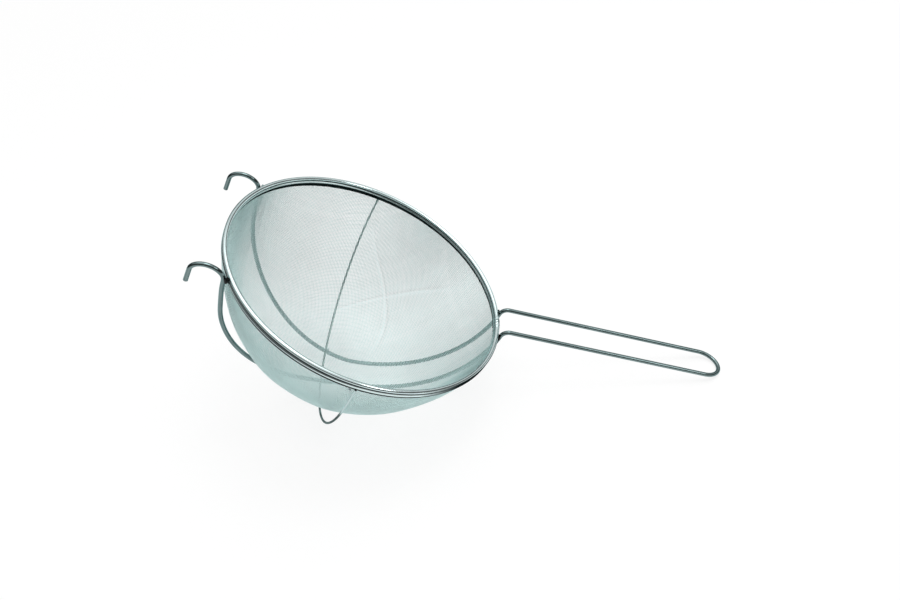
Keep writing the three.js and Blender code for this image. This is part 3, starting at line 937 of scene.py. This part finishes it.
def weld_bead(node, half, seed):
    """A lumpy bead at the CAD weld's place, turned to face out from the rim."""
    low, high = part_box(node)
    centre = (Vector(low) + Vector(high)) / 2
    level = LEANED.inverted() @ centre
    around = 0.0 if "crossing" in node else math.atan2(level.y, level.x)
    shape = bmesh.new()
    bmesh.ops.create_icosphere(shape, subdivisions=BEAD_FINENESS, radius=1.0)
    for vert in shape.verts:
        lump = noise.noise(vert.co * LUMP_SIZE + Vector((seed * LUMP_SEED, 0.0, 0.0)))
        ripple = noise.noise(vert.co * RIPPLE_SIZE + Vector((0.0, seed * RIPPLE_SEED, 0.0)))
        vert.co *= 1.0 + LUMP_HEIGHT * (lump + RIPPLE_SHARE * ripple)
    bmesh.ops.scale(shape, vec=half, verts=shape.verts)
    bmesh.ops.rotate(shape, verts=shape.verts, cent=(0, 0, 0), matrix=Matrix.Rotation(around, 3, "Z"))
    placed = Matrix.Translation(centre) @ Matrix.Rotation(LEAN, 4, "Y") @ Matrix.Scale(MM, 4)
    bmesh.ops.transform(shape, matrix=placed, verts=shape.verts)
    mesh = bpy.data.meshes.new("bead_" + node)
    shape.to_mesh(mesh)
    shape.free()
    mesh.shade_smooth()
    return mesh


for seed, (node, half) in enumerate(WELD_HALF.items()):
    metal = burnt_and_shaded_weld_steel if node in BURNT_AND_SHADED_WELDS else plain_weld_steel
    finish_piece("bead_" + node, weld_bead(node, half, seed), metal, [node])


# Camera: the photograph's view, kept as its place, its lens and two of its axes
VIEW_PLACE = (0.01904, -0.52048, 0.56121)
VIEW_FORWARD = (-0.06552, 0.74680, -0.66181)
VIEW_RIGHT = (0.9973, 0.0265, -0.06853)
VIEW_LENS = 30.586
VIEW_SENSOR = 36.0
VIEW_NEAREST = 0.01
VIEW_FARTHEST = 50.0


def set_camera():
    data = bpy.data.cameras.new("view")
    data.sensor_fit = "HORIZONTAL"
    data.sensor_width = VIEW_SENSOR
    data.lens = VIEW_LENS
    data.clip_start, data.clip_end = VIEW_NEAREST, VIEW_FARTHEST
    camera = bpy.data.objects.new("view", data)
    forward = Vector(VIEW_FORWARD).normalized()
    right = Vector(VIEW_RIGHT)
    right = (right - right.dot(forward) * forward).normalized()
    axes = Matrix((right, right.cross(forward), -forward)).transposed().to_4x4()
    camera.matrix_world = Matrix.Translation(VIEW_PLACE) @ axes
    bpy.context.collection.objects.link(camera)
    bpy.context.scene.camera = camera


set_camera()


# Studio: a pale floor, a soft dome and two soft lamps
FLOOR_HALF = 6.0
FLOOR_SQUARES = 8
FLOOR_NEAR = 1.2
FLOOR_FAR = 3.0
FLOOR_GLOW = 0.8
FLOOR_MIRRORED = 1.0
FLOOR_COLOUR = 0.22
FLOOR_EDGE = 0.04


def pale_floor():
    """A white floor to the eye and in the steel, and a darker one for the light that it gives back."""
    material = bpy.data.materials.new("pale_floor")
    tree = nodes_of(material)
    path = put(tree, "ShaderNodeLightPath")
    place = put(tree, "ShaderNodeTexCoord")
    away = put(tree, "ShaderNodeVectorMath", operation="LENGTH")
    join(tree, place.outputs["Object"], away.inputs[0])
    near = spread(tree, away.outputs["Value"], FLOOR_MIRRORED, FLOOR_EDGE, FLOOR_NEAR, FLOOR_FAR)
    mirrored = put(tree, "ShaderNodeMath", operation="MAXIMUM")
    join(tree, path.outputs["Is Glossy Ray"], mirrored.inputs[0])
    join(tree, path.outputs["Is Transmission Ray"], mirrored.inputs[1])
    shown = put(tree, "ShaderNodeMath", operation="MULTIPLY")
    join(tree, mirrored.outputs[0], shown.inputs[0])
    join(tree, near, shown.inputs[1])
    seen = put(tree, "ShaderNodeMath", operation="MAXIMUM")
    join(tree, path.outputs["Is Camera Ray"], seen.inputs[0])
    join(tree, shown.outputs[0], seen.inputs[1])
    strength = put(tree, "ShaderNodeMath", operation="MULTIPLY")
    strength.inputs[1].default_value = FLOOR_GLOW
    join(tree, seen.outputs[0], strength.inputs[0])
    glow = put(tree, "ShaderNodeEmission")
    join(tree, strength.outputs[0], glow.inputs["Strength"])
    matt = put(tree, "ShaderNodeBsdfDiffuse", Color=(FLOOR_COLOUR, FLOOR_COLOUR, FLOOR_COLOUR, 1.0))
    both = put(tree, "ShaderNodeAddShader")
    join(tree, glow.outputs[0], both.inputs[0])
    join(tree, matt.outputs[0], both.inputs[1])
    output = put(tree, "ShaderNodeOutputMaterial")
    join(tree, both.outputs[0], output.inputs["Surface"])
    shape = bmesh.new()
    squares = FLOOR_SQUARES
    bmesh.ops.create_grid(shape, x_segments=squares, y_segments=squares, size=FLOOR_HALF)
    mesh = bpy.data.meshes.new("floor")
    shape.to_mesh(mesh)
    shape.free()
    mesh.materials.append(material)
    floor = bpy.data.objects.new("floor", mesh)
    bpy.context.collection.objects.link(floor)


DOME_TOP = Vector((0.1, 0.22, 0.97)).normalized()
DOME_BANDS = [(0.0, 0.08), (0.43, 0.11), (0.58, 0.66), (0.8, 0.78), (0.88, 1.6), (1.0, 1.8)]


def soft_dome():
    """Light from all round, brightest in a cap overhead, and plain white behind the sieve."""
    world = bpy.data.worlds.new("soft_dome")
    bpy.context.scene.world = world
    world.use_nodes = True
    tree = world.node_tree
    tree.nodes.clear()
    place = put(tree, "ShaderNodeTexCoord")
    towards = put(tree, "ShaderNodeVectorMath", operation="DOT_PRODUCT")
    towards.inputs[1].default_value = DOME_TOP
    join(tree, place.outputs["Generated"], towards.inputs[0])
    dome = ramp(tree, towards.outputs["Value"], [(height, (level,) * 3) for height, level in DOME_BANDS])
    path = put(tree, "ShaderNodeLightPath")
    studio = put(tree, "ShaderNodeBackground")
    join(tree, dome, studio.inputs["Color"])
    white = put(tree, "ShaderNodeBackground")
    white.inputs["Color"].default_value = (1.0, 1.0, 1.0, 1.0)
    chosen = put(tree, "ShaderNodeMixShader")
    join(tree, path.outputs["Is Camera Ray"], chosen.inputs[0])
    join(tree, studio.outputs[0], chosen.inputs[1])
    join(tree, white.outputs[0], chosen.inputs[2])
    output = put(tree, "ShaderNodeOutputWorld")
    join(tree, chosen.outputs[0], output.inputs["Surface"])


LAMP_AIM = (-0.05, 0.0, 0.08)


def soft_lamp(name, place, size, power):
    """A round lamp aimed at the sieve."""
    data = bpy.data.lights.new(name, "AREA")
    data.shape = "DISK"
    data.size = size
    data.energy = power
    lamp = bpy.data.objects.new(name, data)
    lamp.location = place
    lamp.rotation_euler = (Vector(LAMP_AIM) - Vector(place)).to_track_quat("-Z", "Y").to_euler()
    bpy.context.collection.objects.link(lamp)


pale_floor()
soft_dome()
soft_lamp("top_lamp", place=(0.3, 0.1, 1.7), size=0.6, power=4.0)
soft_lamp("side_lamp", place=(1.3, -0.6, 1.2), size=0.5, power=2.5)

bpy.context.scene.view_settings.view_transform = "Standard"
